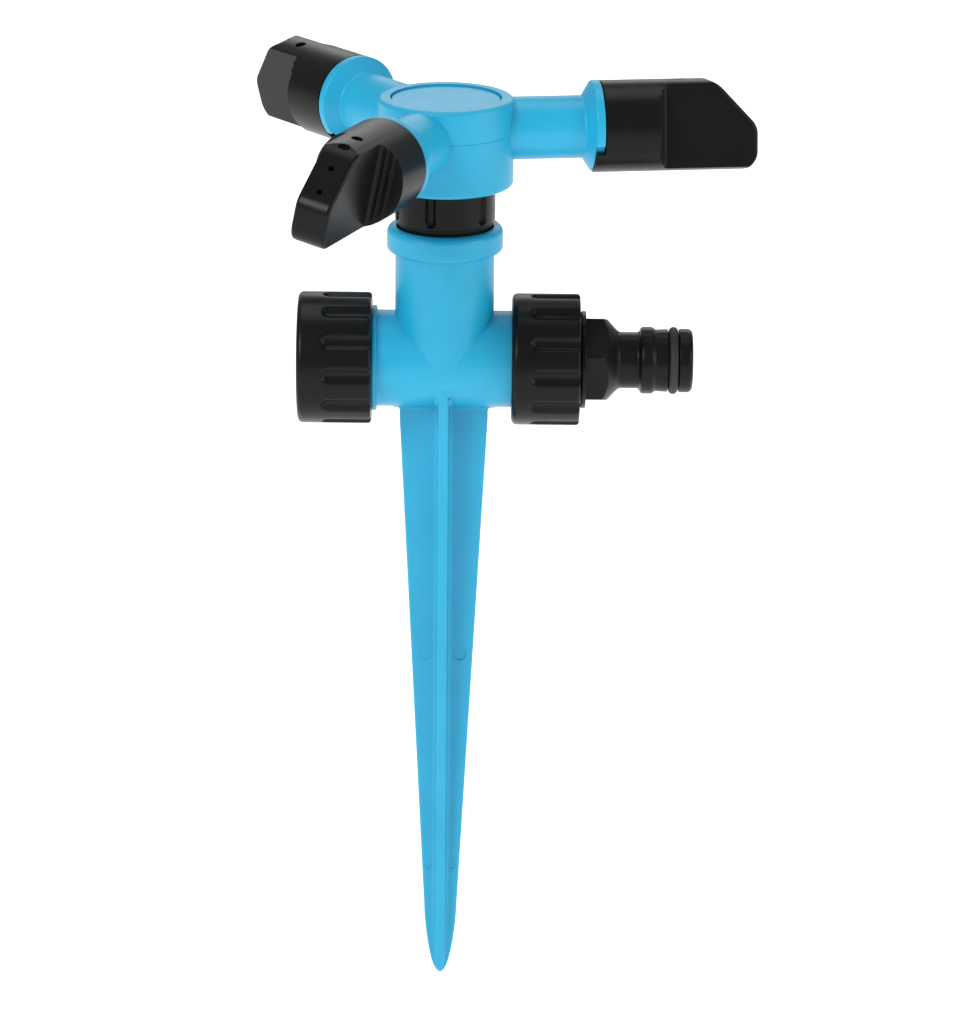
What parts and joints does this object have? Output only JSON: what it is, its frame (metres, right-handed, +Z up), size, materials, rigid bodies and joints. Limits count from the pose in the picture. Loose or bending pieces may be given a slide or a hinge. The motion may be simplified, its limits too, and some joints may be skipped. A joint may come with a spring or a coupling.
{
  "type": "rotating garden sprinkler",
  "caption": "Garden sprinkler on a ground spike: spinning hub with radial arms and adjustable bladed nozzles, fluted coupling nut with hose nose, and a screw end cap.",
  "frame": {"origin": "on the spike's axis at ground level, 20 mm below the cross tube's axis", "axes": "+Z up along the spike and the head's spin axis, +X along the cross tube towards the hose inlet, +Y away from the pictured front"},
  "size_m": [0.1279, 0.1384, 0.2404],
  "materials": {
    "blue_plastic": "satin light blue injection-moulded plastic",
    "black_plastic": "satin black injection-moulded plastic",
    "black_rubber": "soft black rubber",
    "white_acetal": "smooth off-white",
    "spring_steel": "bright"
  },
  "bodies": {
    "base": {"base_body": "blue_plastic", "swivel_stem": "black_plastic", "socket_o_ring": "black_rubber", "lower_thrust_washer": "white_acetal", "shaft_o_ring": "black_rubber", "upper_thrust_washer": "white_acetal", "retaining_clip": "spring_steel"},
    "rotor": {"rotor_hub": "blue_plastic", "hub_lid": "blue_plastic", "nozzle_o_ring_right": "black_rubber", "nozzle_o_ring_back": "black_rubber", "nozzle_o_ring_front": "black_rubber"},
    "right_nozzle": {"nozzle_right": "black_plastic"},
    "back_nozzle": {"nozzle_back": "black_plastic"},
    "front_nozzle": {"nozzle_front": "black_plastic"},
    "inlet_seal": {"inlet_washer": "black_rubber"},
    "inlet_connector": {"coupling_nut": "black_plastic", "hose_adapter": "black_plastic", "nose_o_ring": "black_rubber"},
    "cap_seal": {"cap_washer": "black_rubber"},
    "cap": {"end_cap": "black_plastic"}
  },
  "joints": [
    {"name": "head_spin", "type": "hinge", "parent": "base", "child": "rotor", "pos_m": [0, 0, 0.07895], "axis": [0, 0, 1], "continuous": true},
    {"name": "right_nozzle_turn", "type": "hinge", "parent": "rotor", "child": "right_nozzle", "pos_m": [0, 0, 0.07895], "axis": [0.9914, 0.1305, 0], "range_deg": [-10, 30]},
    {"name": "back_nozzle_turn", "type": "hinge", "parent": "rotor", "child": "back_nozzle", "pos_m": [0, 0, 0.07895], "axis": [-0.6088, 0.7934, 0], "range_deg": [-4, 36]},
    {"name": "front_nozzle_turn", "type": "hinge", "parent": "rotor", "child": "front_nozzle", "pos_m": [0, 0, 0.07895], "axis": [-0.3827, -0.9239, 0], "range_deg": [-7, 33]},
    {"name": "inlet_turn", "type": "hinge", "parent": "inlet_seal", "child": "inlet_connector", "pos_m": [0.025, 0, 0.02], "axis": [1, 0, 0], "range_deg": [0, 1800]},
    {"name": "inlet_travel", "type": "slide", "parent": "base", "child": "inlet_seal", "axis": [1, 0, 0], "range_m": [0, 0.0091]},
    {"name": "cap_turn", "type": "hinge", "parent": "cap_seal", "child": "cap", "pos_m": [-0.027, 0, 0.02], "axis": [-1, 0, 0], "range_deg": [0, 1800]},
    {"name": "cap_travel", "type": "slide", "parent": "base", "child": "cap_seal", "axis": [-1, 0, 0], "range_m": [0, 0.0091]}
  ],
  "couplings": [
    {"joint": "inlet_travel", "follows": "inlet_turn", "m_per_rad": 0.00028871},
    {"joint": "cap_travel", "follows": "cap_turn", "m_per_rad": 0.00028871}
  ]
}
